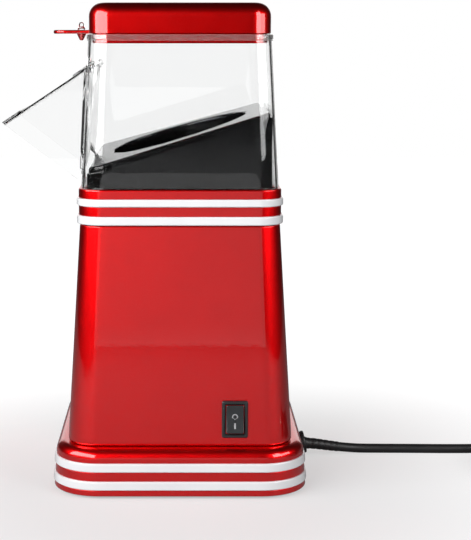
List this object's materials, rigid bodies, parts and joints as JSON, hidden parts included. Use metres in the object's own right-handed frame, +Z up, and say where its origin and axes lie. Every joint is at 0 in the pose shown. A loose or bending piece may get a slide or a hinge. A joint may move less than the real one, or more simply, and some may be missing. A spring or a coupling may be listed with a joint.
{
  "type": "popcorn maker",
  "caption": "Hot-air popcorn maker with a tapered body on a square plinth, a clear lift-off hood with an awning flap over its outlet, a measuring cap and a coiled mains lead.",
  "frame": {"origin": "on the surface the machine stands on, under the middle of its outline without the mains lead", "axes": "+Z up; the popcorn outlet faces -X and the mains lead leaves towards +X; the switch is on the -Y side"},
  "size_m": [0.3912, 0.1978, 0.29],
  "materials": {
    "red_paint": "red metallic lacquer, glossy",
    "white_gloss": "white, glossy",
    "red_gloss": "red moulded plastic, polished",
    "clear_plastic": "clear moulded plastic, polished",
    "black_plastic": "black moulded plastic, satin",
    "switch_plastic": "black switch plastic, semi-gloss",
    "black_rubber": "black rubber, matt",
    "cord_rubber": "black cord sheath, satin",
    "aluminium": "drawn aluminium, satin",
    "steel": "zinc-plated steel",
    "brass": "nickel-plated brass",
    "mica": "mica sheet, matt",
    "circuit_board": "green circuit board"
  },
  "bodies": {
    "base": {"air_jacket": "steel", "base_band_lower": "white_gloss", "base_band_upper": "white_gloss", "base_shell": "red_paint", "body_shell": "red_paint", "bottom_cover": "black_plastic", "collar_band_lower": "white_gloss", "collar_band_upper": "white_gloss", "collar_ring": "red_paint", "cord_coil": "cord_rubber", "cord_tail": "cord_rubber", "cord_tie": "cord_rubber", "cover_screw_1": "steel", "cover_screw_2": "steel", "cover_screw_3": "steel", "cover_screw_4": "steel", "fan_housing": "black_plastic", "foot_1": "black_rubber", "foot_2": "black_rubber", "foot_3": "black_rubber", "foot_4": "black_rubber", "heater_coil": "steel", "heater_frame": "mica", "live_lead": "cord_rubber", "mains_plug": "cord_rubber", "motor": "steel", "motor_plate": "steel", "neutral_lead": "cord_rubber", "plug_pin_1": "brass", "plug_pin_2": "brass", "popping_chamber": "aluminium", "power_cord": "cord_rubber", "rectifier_board": "circuit_board", "standoff_1": "steel", "standoff_2": "steel", "standoff_3": "steel", "standoff_4": "steel", "strain_relief": "cord_rubber", "support_plate": "steel", "switch_housing": "switch_plastic", "thermal_fuse": "aluminium", "thermostat": "switch_plastic"},
    "hood": {"clear_hood": "clear_plastic", "chute_insert": "black_plastic", "flap_pin_near": "steel", "flap_pin_far": "steel"},
    "flap": {"outlet_flap": "clear_plastic"},
    "cap": {"measuring_cap": "red_gloss", "cap_handle": "red_gloss", "cap_grip": "clear_plastic"},
    "rocker": {"switch_rocker": "switch_plastic"},
    "fan": {"motor_shaft": "steel", "fan_impeller": "black_plastic"}
  },
  "joints": [
    {"name": "hood_lift", "type": "slide", "parent": "base", "child": "hood", "axis": [0, 0, 1], "range_m": [0, 0.06]},
    {"name": "cap_lift", "type": "slide", "parent": "hood", "child": "cap", "axis": [0, 0, 1], "range_m": [0, 0.04]},
    {"name": "flap_hinge", "type": "hinge", "parent": "hood", "child": "flap", "pos_m": [-0.03743, 0, 0.2529], "axis": [0, 1, 0], "range_deg": [0, 46]},
    {"name": "rocker_press", "type": "hinge", "parent": "base", "child": "rocker", "pos_m": [0.04657, -0.06707, 0.04633], "axis": [1, 0, 0], "range_deg": [0, 16]},
    {"name": "fan_spin", "type": "hinge", "parent": "base", "child": "fan", "pos_m": [0.01397, 0, 0.07], "axis": [0, 0, 1], "continuous": true}
  ]
}
